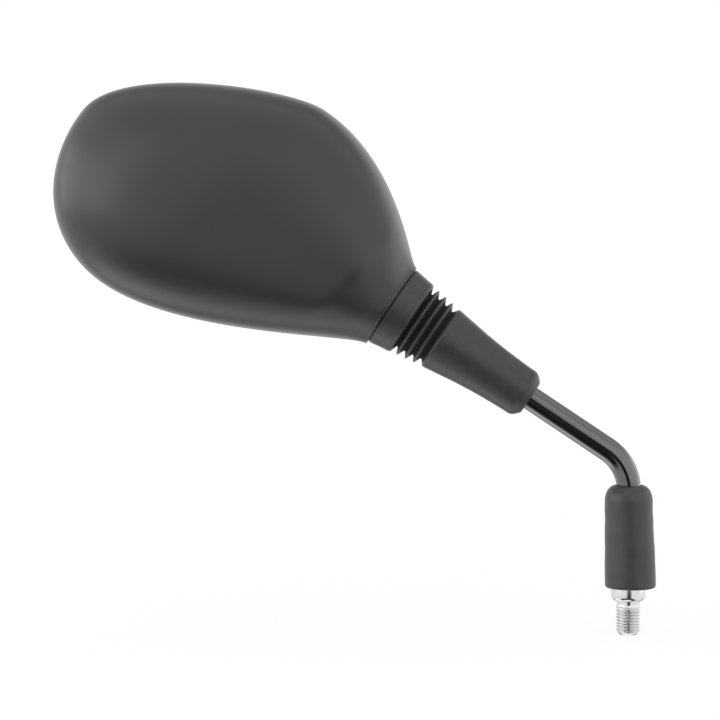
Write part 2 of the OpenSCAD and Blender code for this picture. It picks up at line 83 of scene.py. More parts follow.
class MirrorSizes(bpy.types.PropertyGroup):
    """Sizes that only the looks have."""

    thread_pitch: FloatProperty(
        name="Thread pitch", description="Rise of the stud's thread for one turn",
        default=0.00125, min=0.0008, max=0.002, precision=5, unit="LENGTH")
    thread_depth: FloatProperty(
        name="Thread depth", description="Depth of the stud's thread",
        default=0.00072, min=0.0002, max=0.001, precision=5, unit="LENGTH")
    around: IntProperty(
        name="Steps around", description="Steps around each turned piece",
        default=96, min=32, max=160)
    rim_edge: FloatProperty(
        name="Rim edge", description="Rounding of the rim's inner edge",
        default=0.0009, min=0.0002, max=0.002, precision=5, unit="LENGTH")
    grain: FloatProperty(
        name="Shell grain", description="Size of the grain moulded into the shell",
        default=0.00045, min=0.0002, max=0.002, precision=5, unit="LENGTH")


class MirrorColours(bpy.types.PropertyGroup):
    """Colours of the finishes."""

    shell: FloatVectorProperty(
        name="Shell", description="Moulded shell", subtype="COLOR",
        default=(0.024, 0.024, 0.0245), min=0, max=1)
    boot: FloatVectorProperty(
        name="Rubber boot", description="Ribbed boot at the ball joint", subtype="COLOR",
        default=(0.024, 0.024, 0.0245), min=0, max=1)
    base: FloatVectorProperty(
        name="Base boot", description="Rubber sleeve over the arm's lower end", subtype="COLOR",
        default=(0.026, 0.026, 0.0265), min=0, max=1)
    arm: FloatVectorProperty(
        name="Arm", description="Gloss paint on the rod", subtype="COLOR",
        default=(0.006, 0.006, 0.007), min=0, max=1)
    zinc: FloatVectorProperty(
        name="Bright zinc", description="Plated stud, nuts and screws", subtype="COLOR",
        default=(0.64, 0.65, 0.66), min=0, max=1)


# Shader maths


class Shade:
    """An output socket that Python's own operators work on."""

    def __init__(self, board, socket):
        self.board = board
        self.socket = socket

    def _do(self, operation, a, b):
        return self.board.node("ShaderNodeMath", {"operation": operation}, {0: a, 1: b})

    def __add__(self, other):
        return self._do("ADD", self, other)

    def __sub__(self, other):
        return self._do("SUBTRACT", self, other)

    def __rsub__(self, other):
        return self._do("SUBTRACT", other, self)

    def __mul__(self, other):
        return self._do("MULTIPLY", self, other)


class Board:
    """A node tree, and the one way by which nodes get into it."""

    def __init__(self, tree):
        self.tree = tree

    def node(self, kind, settings=None, inputs=None, out=0):
        """Adds a node, sets it up, fills its sockets and hands back one output."""
        made = self.tree.nodes.new(kind)
        for key, value in (settings or {}).items():
            if key == "stops":
                ramp = made.color_ramp
                while len(ramp.elements) < len(value):
                    ramp.elements.new(0.5)
                for element, (place, grey) in zip(ramp.elements, value):
                    element.position = place
                    element.color = (grey, grey, grey, 1.0)
            else:
                setattr(made, key, value)
        for key, value in (inputs or {}).items():
            self.feed(made.inputs[key], value)
        return Shade(self, made.outputs[out])

    def feed(self, socket, value):
        """Links or sets one input."""
        if isinstance(value, Shade):
            self.tree.links.new(value.socket, socket)
        else:
            socket.default_value = value

    def step(self, value, low, high):
        """Zero below low, one above high and a soft rise between them."""
        return self.node("ShaderNodeMapRange", {"interpolation_type": "SMOOTHSTEP"},
                         {"Value": value, "From Min": low, "From Max": high})

    def show(self, end, shader):
        """Joins a shader to the tree's output."""
        self.feed(self.tree.nodes[end].inputs["Surface"], shader)


class Finish(Board):
    """One material and the nodes in it."""

    def __init__(self, name):
        self.material = bpy.data.materials.new(name)
        self.material.use_nodes = True
        super().__init__(self.material.node_tree)
        self.shader = self.tree.nodes["Principled BSDF"]

    def surface(self, **values):
        """Sets or links the shader's own sockets, named with underscores for spaces."""
        for key, value in values.items():
            self.feed(self.shader.inputs[key.replace("_", " ")], value)

    def place(self):
        """Coordinates of the piece in metres."""
        return self.node("ShaderNodeTexCoord", out="Object")

    def noise(self, size, detail=2.0, rough=0.5):
        """Noise with lumps of that size in metres."""
        return self.node("ShaderNodeTexNoise", {"noise_dimensions": "3D"},
                         {"Vector": self.place(), "Scale": 1.0 / size,
                          "Detail": detail, "Roughness": rough})

    def ramp(self, value, *stops):
        return self.node("ShaderNodeValToRGB", {"stops": stops}, {"Fac": value})

    def mix(self, factor, a, b):
        """Colour between a and b."""
        return self.node("ShaderNodeMix", {"data_type": "RGBA"},
                         {0: factor, 6: a, 7: b}, out=2)

    def bump(self, height, strength, distance, under=None):
        inputs = {"Height": height, "Strength": strength, "Distance": distance}
        if under:
            inputs["Normal"] = under
        return self.node("ShaderNodeBump", {}, inputs)


def rgba(colour, gain=1.0):
    """A colour made lighter or darker, with alpha."""
    return (*[min(1.0, c * gain) for c in colour], 1.0)


def colours():
    return bpy.context.scene.mirror_colours


def sizes():
    return bpy.context.scene.mirror_sizes


def shell_plastic():
    """Black moulded plastic with a fine spark-eroded grain."""
    f = Finish("shell_plastic")
    base = colours().shell
    cloud = f.noise(0.03, 3.0)
    grain = f.noise(sizes().grain, 3.0, 0.6)
    flow = f.noise(0.009, 2.0)
    tone = f.mix(cloud, rgba(base, 0.88), rgba(base, 1.15))
    f.surface(Base_Color=tone, Roughness=grain * 0.08 + flow * 0.05 + 0.26,
              Normal=f.bump(grain, 0.2, 0.00004))
    f.surface(Specular_IOR_Level=0.5, IOR=1.49)
    return f.material


def boot_rubber():
    """Soft black rubber with a faint bloom, and painted shade that darkens the valleys of its
    folds.
    """
    f = Finish("boot_rubber")
    base = colours().boot
    cloud = f.noise(0.012, 3.0)
    skin = f.noise(0.0006, 3.0, 0.6)
    dust = f.noise(0.0022, 4.0, 0.65)
    tone = f.mix(f.ramp(dust, (0.45, 0.0), (0.72, 1.0)) * 0.35, rgba(base), rgba(base, 1.9))
    # mask of the fold valleys, used for painted shade there and for more roughness
    valley_shade_and_roughness = f.step(f.node("ShaderNodeAttribute", {"attribute_name": "fold_depth"}, out="Fac"),
                  0.5, 1.5)
    # painted shade: in the fold valleys the colour falls to 0.15 of the base colour
    tone = f.mix(valley_shade_and_roughness, tone, rgba(base, 0.15))
    f.surface(Base_Color=tone, Roughness=cloud * 0.08 + skin * 0.08 + valley_shade_and_roughness * 0.5 + 0.32,
              Normal=f.bump(skin, 0.25, 0.00007))
    f.surface(Specular_IOR_Level=0.45, IOR=1.52)
    return f.material


def base_rubber():
    """Pulled-on sleeve of dull rubber, slightly uneven."""
    f = Finish("base_rubber")
    base = colours().base
    cloud = f.noise(0.008, 3.0)
    skin = f.noise(0.0007, 3.0, 0.6)
    pull = f.noise(0.007, 2.0, 0.4)
    under = f.bump(pull, 0.25, 0.0008)
    tone = f.mix(cloud, rgba(base, 0.85), rgba(base, 1.35))
    f.surface(Base_Color=tone, Roughness=skin * 0.08 + cloud * 0.10 + 0.32,
              Normal=f.bump(skin, 0.25, 0.00007, under))
    f.surface(Specular_IOR_Level=0.45, IOR=1.52)
    return f.material


def arm_paint():
    """Gloss black paint with a little orange peel."""
    f = Finish("arm_paint")
    base = colours().arm
    peel = f.noise(0.0028, 2.0, 0.4)
    haze = f.noise(0.02, 3.0)
    f.surface(Base_Color=f.mix(haze, rgba(base, 0.8), rgba(base, 1.4)),
              Roughness=haze * 0.05 + 0.08, Normal=f.bump(peel, 0.10, 0.00006))
    f.surface(Specular_IOR_Level=1.0, IOR=1.5, Coat_Weight=1.0, Coat_Roughness=0.05)
    return f.material


def bright_zinc():
    """Bright zinc plate over turned steel."""
    f = Finish("bright_zinc")
    base = colours().zinc
    stain = f.noise(0.004, 3.0)
    turned = f.node("ShaderNodeTexWave",
                    {"wave_type": "BANDS", "bands_direction": "Z", "wave_profile": "SIN"},
                    {"Vector": f.place(), "Scale": 900.0, "Distortion": 1.5,
                     "Detail": 2.0, "Detail Scale": 1.0})
    f.surface(Base_Color=f.mix(stain, rgba(base, 0.90), rgba(base, 1.08)),
              Metallic=1.0, Roughness=stain * 0.08 + turned * 0.04 + 0.13,
              Normal=f.bump(turned, 0.10, 0.00002))
    return f.material


def plain_steel():
    """Oiled turned steel of the hidden joint."""
    f = Finish("plain_steel")
    stain = f.noise(0.005, 3.0)
    scratch = f.noise(0.0004, 2.0)
    f.surface(Base_Color=f.mix(stain, (0.33, 0.33, 0.34, 1), (0.52, 0.52, 0.53, 1)),
              Metallic=1.0, Roughness=stain * 0.2 + 0.28,
              Normal=f.bump(scratch, 0.15, 0.00003))
    return f.material


def seat_nylon():
    """Off-white nylon."""
    f = Finish("seat_nylon")
    cloud = f.noise(0.006, 2.0)
    f.surface(Base_Color=f.mix(cloud, (0.76, 0.74, 0.66, 1), (0.86, 0.85, 0.79, 1)),
              Roughness=cloud * 0.1 + 0.4, Normal=f.bump(f.noise(0.0004), 0.1, 0.00003))
    return f.material


def plate_plastic():
    """Black backing plate."""
    f = Finish("plate_plastic")
    cloud = f.noise(0.01, 2.0)
    f.surface(Base_Color=f.mix(cloud, (0.035, 0.035, 0.036, 1), (0.055, 0.055, 0.056, 1)),
              Roughness=cloud * 0.1 + 0.5, Normal=f.bump(f.noise(0.0005), 0.2, 0.00005))
    return f.material


def foam_pad():
    """Open-cell foam tape."""
    f = Finish("foam_pad")
    cells = f.node("ShaderNodeTexVoronoi", {}, {"Vector": f.place(), "Scale": 1500.0},
                   out="Distance")
    f.surface(Base_Color=f.mix(cells, (0.35, 0.33, 0.29, 1), (0.68, 0.66, 0.60, 1)),
              Roughness=0.9, Normal=f.bump(cells, 0.5, 0.0003))
    return f.material


def silvered_glass():
    """Convex mirror glass, silvered on its back."""
    f = Finish("silvered_glass")
    haze = f.noise(0.02, 3.0)
    f.surface(Base_Color=f.mix(haze, (0.84, 0.86, 0.87, 1), (0.88, 0.90, 0.91, 1)),
              Metallic=1.0, Roughness=haze * 0.012 + 0.015)
    return f.material


FINISHES = {}


def finish_for(slot):
    """The material of one of the record's slots, made once."""
    makers = {
        "housing_black": shell_plastic, "boot_rubber": boot_rubber,
        "base_rubber": base_rubber, "arm_black": arm_paint, "bright_zinc": bright_zinc,
        "plain_steel": plain_steel, "seat_nylon": seat_nylon, "plate_black": plate_plastic,
        "foam_pad": foam_pad, "mirror_glass": silvered_glass,
    }
    if slot not in FINISHES:
        FINISHES[slot] = makers[slot]()
    return FINISHES[slot]


# Modelling helpers


def nothing_selected():
    """Goes back to object mode with nothing selected."""
    if bpy.context.object and bpy.context.object.mode != "OBJECT":
        bpy.ops.object.mode_set(mode="OBJECT")
    bpy.ops.object.select_all(action="DESELECT")


def only(piece):
    """Selects one piece and makes it the active one."""
    nothing_selected()
    piece.select_set(True)
    bpy.context.view_layer.objects.active = piece


def close_up(piece, smooth_angle=35.0):
    """Merges doubles, turns faces outwards and shades the piece."""
    only(piece)
    bpy.ops.object.mode_set(mode="EDIT")
    bpy.ops.mesh.select_all(action="SELECT")
    bpy.ops.mesh.remove_doubles(threshold=SAME_POINT)
    bpy.ops.mesh.normals_make_consistent(inside=False)
    bpy.ops.object.mode_set(mode="OBJECT")
    bpy.ops.object.shade_smooth_by_angle(angle=math.radians(smooth_angle))


def along_arm(points):
    """(radius, distance from the ball) pairs to points of the arm's XZ plane."""
    return [BALL + ACROSS * (r * MM) + ARM * (w * MM) for r, w in points]


def fillet(points, radius, steps=4):
    """Rounds each corner of a closed outline, in its own units."""
    out = []
    count = len(points)
    for i in range(count):
        p = np.array(points[i], float)
        a = np.array(points[i - 1], float)
        b = np.array(points[(i + 1) % count], float)
        da, db = a - p, b - p
        la, lb = np.linalg.norm(da), np.linalg.norm(db)
        reach = min(radius, 0.48 * la, 0.48 * lb)
        start, end = p + da / la * reach, p + db / lb * reach
        for k in range(steps + 1):
            t = k / steps
            q = start * (1 - t) ** 2 + p * 2 * t * (1 - t) + end * t * t
            out.append(tuple(q))
    return out


def cut_long(points, longest):
    """Adds points where an outline's stretch is longer than that."""
    out = []
    for i, p in enumerate(points):
        q = points[(i + 1) % len(points)]
        n = max(1, math.ceil(math.dist(p, q) / longest))
        out += [tuple(p[k] + (q[k] - p[k]) * j / n for k in range(2)) for j in range(n)]
    return out


def turned(name, outline, centre, axis, steps):
    """Spins a closed outline of points round an axis, as on a lathe."""
    nothing_selected()
    bpy.ops.mesh.primitive_circle_add(vertices=len(outline), radius=0.01, location=(0, 0, 0))
    piece = bpy.context.object
    piece.name = name
    for vertex, point in zip(piece.data.vertices, outline):
        vertex.co = point
    bpy.ops.object.mode_set(mode="EDIT")
    bpy.ops.mesh.select_all(action="SELECT")
    bpy.ops.mesh.spin(steps=steps, dupli=False, angle=math.tau, center=centre, axis=axis)
    bpy.ops.object.mode_set(mode="OBJECT")
    close_up(piece)
    return piece


def from_grid(name, rows, ends):
    """A skin over closed rows of points; ends give a pole point or "flat" for each end."""
    rows = [list(row) for row in rows]
    width = len(rows[0])
    points = [p for row in rows for p in row]
    faces = []
    for j in range(len(rows) - 1):
        for i in range(width):
            k = (i + 1) % width
            faces.append((j * width + i, j * width + k,
                          (j + 1) * width + k, (j + 1) * width + i))
    for end, row in ((ends[0], 0), (ends[1], len(rows) - 1)):
        ring = [row * width + i for i in range(width)]
        if isinstance(end, str):
            faces.append(tuple(ring))
        else:
            points.append(end)
            tip = len(points) - 1
            faces += [(ring[i], ring[(i + 1) % width], tip) for i in range(width)]
    mesh = bpy.data.meshes.new(name)
    mesh.from_pydata([tuple(p) for p in points], [], faces)
    piece = bpy.data.objects.new(name, mesh)
    bpy.context.scene.collection.objects.link(piece)
    return piece


def cut_by(piece, cutter, operation="DIFFERENCE"):
    """Applies a boolean and takes the cutter away."""
    only(piece)
    modifier = piece.modifiers.new("cut", "BOOLEAN")
    modifier.operation = operation
    modifier.solver = "EXACT"
    modifier.object = cutter
    bpy.ops.object.modifier_apply(modifier=modifier.name)
    bpy.data.objects.remove(cutter)
    return piece


def settle(piece, body, slot, *nodes):
    """Gives a finished piece its finish and body, and hides the CAD nodes it stands for."""
    piece.data.materials.clear()
    piece.data.materials.append(finish_for(slot))
    if body:
        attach(piece, body)
    if nodes:
        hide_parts(*nodes)
    return piece


# Shell of the mirror, in millimetres from the neck

UP_RAIL = [(0, 18.3), (5.6, 18.5), (30, 50.7), (68, 50.7), (84.4, 50.7), (151.1, 19.9),
           (151.1, -5.8)]
LOW_RAIL = [(0, -18.7), (6.3, -18.9), (64.6, -59.1), (103.8, -59.1), (129.3, -59.1),
            (151.1, -40.2), (151.1, -5.8)]
SHELL_AROUND = 144
NECK_R = 18.5
NECK_SHIFT = -0.2  # of the neck's middle, across the arm
NECK_ROUNDING = ((0.45, 0.0), (0.22, 0.03), (0.07, 0.1))  # inward, ahead
WIDEST_LEVEL = 11.0
SHELL_DEPTH = 39.0  # behind the widest line
BACK_FALL_FROM, BACK_FALL = 75, 76.1  # the depth runs out to nothing over that stretch
RIM_FALL_FROM, RIM_FALL = 145.1, 6
END_CURVE = 2.5
RIM_HEIGHT = 6.0  # in front of it
BACK_CURVE, FRONT_CURVE = 2.8, 3.6  # 2 is round, more is boxier
RIM_LEVEL = WIDEST_LEVEL + RIM_HEIGHT
POCKET_FLOOR, POCKET_INSET = 8.7, 3.6
POCKET_UP, POCKET_LOW, POCKET_END = 0.225, 0.19, 0.99  # stretch of the rails it follows
POCKET_REACH = 24  # handle of the curve that closes it at the neck
SPIGOT = [(12.0, 9.5), (14.3, 9.5), (14.6, 9.8), (14.6, 10.3), (15.0, 10.6), (15.0, 11.4),
          (14.6, 11.8), (14.6, 16.4), (17.4, 16.4), (17.4, 16.9), (12.0, 16.9)]
GLASS_MIDDLE = (80.0, -4.0)
GLASS_R = 1200.0
GLASS_FRONT, GLASS_BACK = 15.5, 13.5
GLASS_INSET, GROUND_EDGE = 4.2, 0.3


def rail(points, t, inset=0.0, side=1):
    """A point of a rail, as (from the neck, across), drawn in by inset."""
    a, b, c, d = [np.array(p, float) for p in (points[:4] if t < 0.5 else points[3:])]
    s = 2 * t if t < 0.5 else 2 * t - 1
    place = a * (1 - s) ** 3 + 3 * b * s * (1 - s) ** 2 + 3 * c * s * s * (1 - s) + d * s ** 3
    run = (b - a) * (1 - s) ** 2 + 2 * (c - b) * s * (1 - s) + (d - c) * s * s
    run /= np.linalg.norm(run)
    return place + inset * side * np.array((run[1], -run[0])), run


def fall(x, n):
    """Falls from 1 to 0 along a superellipse as x goes from 0 to 1."""
    return 1.0 if x <= 0 else 0.0 if x >= 1 else (1 - x ** n) ** (1 / n)


def body_share(t):
    """How much of a ring is shell and no longer round neck."""
    x = min(max(t / 0.2, 0.0), 1.0)
    return x * x * (3 - 2 * x)


def level(t):
    """Height of the shell's widest line in front of the arm's plane."""
    return WIDEST_LEVEL * body_share(t)


def in_shell(p, q, y):
    """From the neck, across and out of the glass, in millimetres, to the row frame."""
    return NECK + ARM * (p * MM) + ACROSS * (q * MM) + OUT * (y * MM)


def shell_ring(t, count):
    """One ring of the shell's outside."""
    u, _ = rail(UP_RAIL, t)
    low, _ = rail(LOW_RAIL, t)
    centre, half = (u + low) / 2, (u - low) / 2
    share = body_share(t)

    def mix(a, b):
        return a + (b - a) * share

    back = mix(NECK_R, SHELL_DEPTH * fall((centre[0] - BACK_FALL_FROM) / BACK_FALL, END_CURVE))
    front = mix(NECK_R, RIM_HEIGHT * fall((centre[0] - RIM_FALL_FROM) / RIM_FALL, END_CURVE))
    back_n, front_n = mix(2, BACK_CURVE), mix(2, FRONT_CURVE)
    ring = []
    for i in range(count):
        angle = math.tau * i / count
        c, s = math.cos(angle), math.sin(angle)
        n = front_n if s > 0 else back_n
        k = math.copysign(abs(c) ** (2 / n), c)
        y = level(t) + (front if s > 0 else -back) * abs(s) ** (2 / n)
        ring.append(in_shell(centre[0] + k * half[0], centre[1] + k * half[1], y))
    return ring


def pocket_outline(inset, count=64):
    """Closed outline of the glass pocket, drawn in from the shell's outline."""
    up = [rail(UP_RAIL, POCKET_UP + (POCKET_END - POCKET_UP) * i / count, inset)[0]
          for i in range(count + 1)]
    down = [rail(LOW_RAIL, POCKET_END - (POCKET_END - POCKET_LOW) * i / count, inset, -1)[0]
            for i in range(count + 1)]
    a, da = rail(LOW_RAIL, POCKET_LOW, inset, -1)
    d, dd = rail(UP_RAIL, POCKET_UP, inset)
    b, c = a - POCKET_REACH * da, d - POCKET_REACH * dd
    close = []
    for i in range(1, 32):
        s = i / 32
        close.append(a * (1 - s) ** 3 + 3 * b * s * (1 - s) ** 2
                     + 3 * c * s * s * (1 - s) + d * s ** 3)
    return [tuple(p) for p in up + down + close]


class MIRROR_OT_shell(bpy.types.Operator):
    """Builds the moulded shell with its neck, rim and glass pocket"""

    bl_idname = "mirror.shell"
    bl_label = "Shell"

    def execute(self, context):
        rows = []
        first = shell_ring(0.0, SHELL_AROUND)
        middle = NECK + ACROSS * (NECK_SHIFT * MM)
        for inward, ahead in NECK_ROUNDING:
            rows.append([middle + (p - middle) * (1 - inward / NECK_R) + ARM * (ahead * MM)
                         for p in first])
        for t in [0.006] + [0.012 + 0.978 * i / 110 for i in range(111)] + [0.995]:
            rows.append(shell_ring(t, SHELL_AROUND))
        tip = in_shell(*UP_RAIL[-1], level(1.0))
        shell = from_grid("shell", rows, ends=("flat", tip))
        close_up(shell, 40)
        edge = sizes().rim_edge / MM
        cuts = [(POCKET_FLOOR, POCKET_INSET), (RIM_LEVEL - edge, POCKET_INSET)]
        for k in range(1, 7):
            a = math.radians(15 * k)
            cuts.append((RIM_LEVEL - edge + edge * math.sin(a),
                         POCKET_INSET - edge * (1 - math.cos(a))))
        cuts.append((30.0, POCKET_INSET - edge))
        rings = [[in_shell(p, q, y) for p, q in pocket_outline(inset)] for y, inset in cuts]
        cutter = from_grid("pocket_cutter", rings, ends=("flat", "flat"))
        close_up(cutter)
        cut_by(shell, cutter)
        close_up(shell, 40)
        settle(shell, "head", "housing_black", "housing_shell")
        spigot = turned("shell_spigot", along_arm(SPIGOT), BALL, ARM, sizes().around)
        settle(spigot, "head", "housing_black")
        return {"FINISHED"}


class MIRROR_OT_glass(bpy.types.Operator):
    """Builds the convex glass with ground edges"""

    bl_idname = "mirror.glass"
    bl_label = "Glass"

    def execute(self, context):
        outline = np.array(pocket_outline(GLASS_INSET, 72))
        centre = np.array(GLASS_MIDDLE)

        def face(p, q, front):
            r2 = (p - GLASS_MIDDLE[0]) ** 2 + (q - GLASS_MIDDLE[1]) ** 2
            return front - r2 / (2 * GLASS_R)

        rows = []
        shares = [i / 24 for i in range(1, 25)]
        for s in shares[:-1]:
            ring = centre + (outline - centre) * s
            rows.append([in_shell(p, q, face(p, q, GLASS_FRONT)) for p, q in ring])
        inner = np.array(pocket_outline(GLASS_INSET + GROUND_EDGE, 72))
        for ring, height in ((inner, GLASS_FRONT), (outline, GLASS_FRONT - GROUND_EDGE),
                             (outline, GLASS_BACK + 0.2), (inner, GLASS_BACK)):
            rows.append([in_shell(p, q, face(p, q, height)) for p, q in ring])
        for s in reversed(shares[:-1]):
            ring = centre + (outline - centre) * s
            rows.append([in_shell(p, q, face(p, q, GLASS_BACK)) for p, q in ring])
        glass = from_grid("glass", rows, ends=(in_shell(*GLASS_MIDDLE, GLASS_FRONT),
                                               in_shell(*GLASS_MIDDLE, GLASS_BACK)))
        close_up(glass, 25)
        settle(glass, "head", "mirror_glass", "mirror_glass")
        return {"FINISHED"}


# Rubber boots, as (radius, distance along the axis) in millimetres

BOOT_OUT = [
    (5.3, -51.1), (7.0, -51.1), (7.6, -50.7), (8.3, -50.0), (9.3, -49.0), (9.95, -48.0),
    (10.2, -47.0), (10.2, -43.9), (10.45, -39), (10.7, -34.1), (11.09, -29.2), (11.83, -21.9),
    (12.86, -14.5), (13.7, -8.2), (13.75, -7.6), (13.55, -7.1), (11.5, -5.6), (11.5, -5.0),
    (14.06, -3.9), (14.36, -3.6), (14.36, -3.3), (14.06, -3.0), (12.1, -2.1), (12.1, -1.4),
    (14.65, -0.3), (14.95, 0.0), (14.95, 0.3), (14.65, 0.6), (12.6, 1.6), (12.6, 2.2),
    (15.16, 3.4), (15.46, 3.7), (15.46, 4.0), (15.16, 4.3), (12.7, 5.2), (12.7, 5.7),
    (15.8, 6.7), (16.3, 7.5), (16.59, 10), (17.45, 15.8), (17.2, 16.2)]
BOOT_IN = [
    (14.9, 16.2), (14.9, 12.2), (15.4, 11.9), (15.4, 10.2), (14.9, 9.9), (14.9, 9.0),
    (11.96, 6.7), (11.96, 4.8), (13.76, 3.8), (11.86, 2.5), (11.86, 1.3), (13.25, 0.1),
    (11.35, -1.1), (11.35, -2.4), (12.66, -3.5), (10.76, -4.7), (10.76, -6.2), (12.25, -8.4),
    (11.36, -14.5), (10.33, -21.9), (9.59, -29.2), (8.95, -39), (8.7, -43.9), (8.7, -47.6),
    (5.3, -49.7)]
FOLDS_FROM, FOLDS_TO = -6.4, 6.5
RIDGE_R, RIDGE_SLOPE = 14.92, 0.151  # line over the ridges of the folds
BASE_OUT = [(9.2, 5.2), (9.9, 5.4), (10.3, 6.1), (10.25, 12.2), (10.0, 24.0), (9.8, 34.4)]
BASE_IN = [(5.3, 46.8), (5.3, 42.5), (8.38, 39.5), (8.38, 5.2)]


class MIRROR_OT_rubber_boot(bpy.types.Operator):
    """Turns the ribbed boot and keeps how deep each point lies in its folds"""

    bl_idname = "mirror.rubber_boot"
    bl_label = "Rubber boot"

    def execute(self, context):
        outline = fillet(BOOT_OUT, 0.45, 4) + fillet(BOOT_IN, 0.3, 2)
        outline = cut_long(outline, 1.6)
        boot = turned("rubber_boot_skin", along_arm(outline), BALL, ARM, sizes().around)
        # depth of each point under the ridge line of the folds; the boot's finish paints shade
        # in the valleys from it
        folds = boot.data.attributes.new("fold_depth", "FLOAT", "POINT")
        for vertex, fold in zip(boot.data.vertices, folds.data):
            place = vertex.co - BALL
            up = place.dot(ARM) / MM
            if FOLDS_FROM < up < FOLDS_TO:
                reach = (place - ARM * (up * MM)).length / MM
                fold.value = RIDGE_R + RIDGE_SLOPE * up - reach
        settle(boot, None, "boot_rubber", "rubber_boot")
        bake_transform(boot)
        return {"FINISHED"}


class MIRROR_OT_base_boot(bpy.types.Operator):
    """Turns the rubber sleeve of the base and pulls it slightly uneven"""

    bl_idname = "mirror.base_boot"
    bl_label = "Base boot"

    def execute(self, context):
        dome = [(5.0 + 4.8 * math.cos(math.radians(a)), 40.6 + 6.5 * math.sin(math.radians(a)))
                for a in range(0, 84, 7)]
        outline = cut_long(fillet(BASE_OUT + dome, 0.5, 3) + BASE_IN, 1.2)
        points = [Vector((r * MM, 0, z * MM)) for r, z in outline]
        boot = turned("base_boot_skin", points, (0, 0, 0), (0, 0, 1), sizes().around)
        for vertex in boot.data.vertices:
            x, y, z = vertex.co
            r = math.hypot(x, y)
            if r < 0.0088:
                continue
            a, h = math.atan2(y, x), z / MM
            push = 0.14 * math.exp(-((h - 33) / 2.2) ** 2) * math.cos(a - 0.2)
            push += 0.12 * math.exp(-((h - 21) / 2.6) ** 2) * math.cos(a + 0.5)
            push += 0.06 * math.sin(2 * a + 0.12 * h)
            lean = min(max((36.0 - h) * 0.030, 0.0), 0.85)
            vertex.co.x += (push * x / r + lean) * MM
            vertex.co.y += push * MM * y / r
        settle(boot, "arm", "base_rubber", "base_boot")
        return {"FINISHED"}


# Arm and stud


class MIRROR_OT_arm(bpy.types.Operator):
    """Draws the rod up, round its bend and out to the socket"""

    bl_idname = "mirror.arm"
    bl_label = "Arm rod"

    def execute(self, context):
        reach = BEND_R * math.tan(TURN / 2)
        handle = 4 / 3 * math.tan(TURN / 4) * BEND_R
        low, high = CORNER - Vector((0, 0, reach)), CORNER + ARM * reach
        up = Vector((0, 0, 1))
        stops = [(Vector((0, 0, 0.0035)), up), (low, up), (high, ARM),
                 (CORNER + ARM * 0.0776, ARM)]
        nothing_selected()
        bpy.ops.curve.primitive_bezier_curve_add(radius=0.01, location=(0, 0, 0))
        rod = context.object
        rod.name = "arm_rod_skin"
        path = rod.data
        path.splines[0].bezier_points.add(2)
        for point, (place, run) in zip(path.splines[0].bezier_points, stops):
            point.handle_left_type = point.handle_right_type = "FREE"
            point.co = place
            point.handle_left = place - run * handle
            point.handle_right = place + run * handle
        path.dimensions = "3D"
        path.resolution_u = 40
        path.bevel_depth = ROD_R
        path.bevel_resolution = 15
        path.use_fill_caps = True
        bpy.ops.object.convert(target="MESH")
        close_up(rod, 40)
        settle(rod, "arm", "arm_black", "arm_rod")
        return {"FINISHED"}


def ridge(x):
    """Height of the rolled thread over one pitch, from 0 in the root to 1 on the crest."""
    x = x % 1.0
    if x < 0.14:
        return 1.0
    if x < 0.46:
        return 1 - (x - 0.14) / 0.32
    return 0.0 if x < 0.68 else (x - 0.68) / 0.32


COLLAR = [(0.4, 0.0), (5.8, 0.0), (6.4, 0.35), (6.8, 0.95), (7.0, 1.7), (7.0, 7.0),
          (5.05, 7.0), (5.05, 3.0), (0.4, 3.0)]
HEX_LIMIT = [(0.00001, 6.48), (6.9, 6.48), (7.6, 6.8), (8.2, 7.3), (8.2, 13.2),
             (7.6, 13.7), (6.9, 14.02), (0.00001, 14.02)]
THREAD_R, RELIEF_R = 5.0, 4.7
RELIEF_END, FULL_THREAD, STUD_END = -2.1, -2.6, -14.0


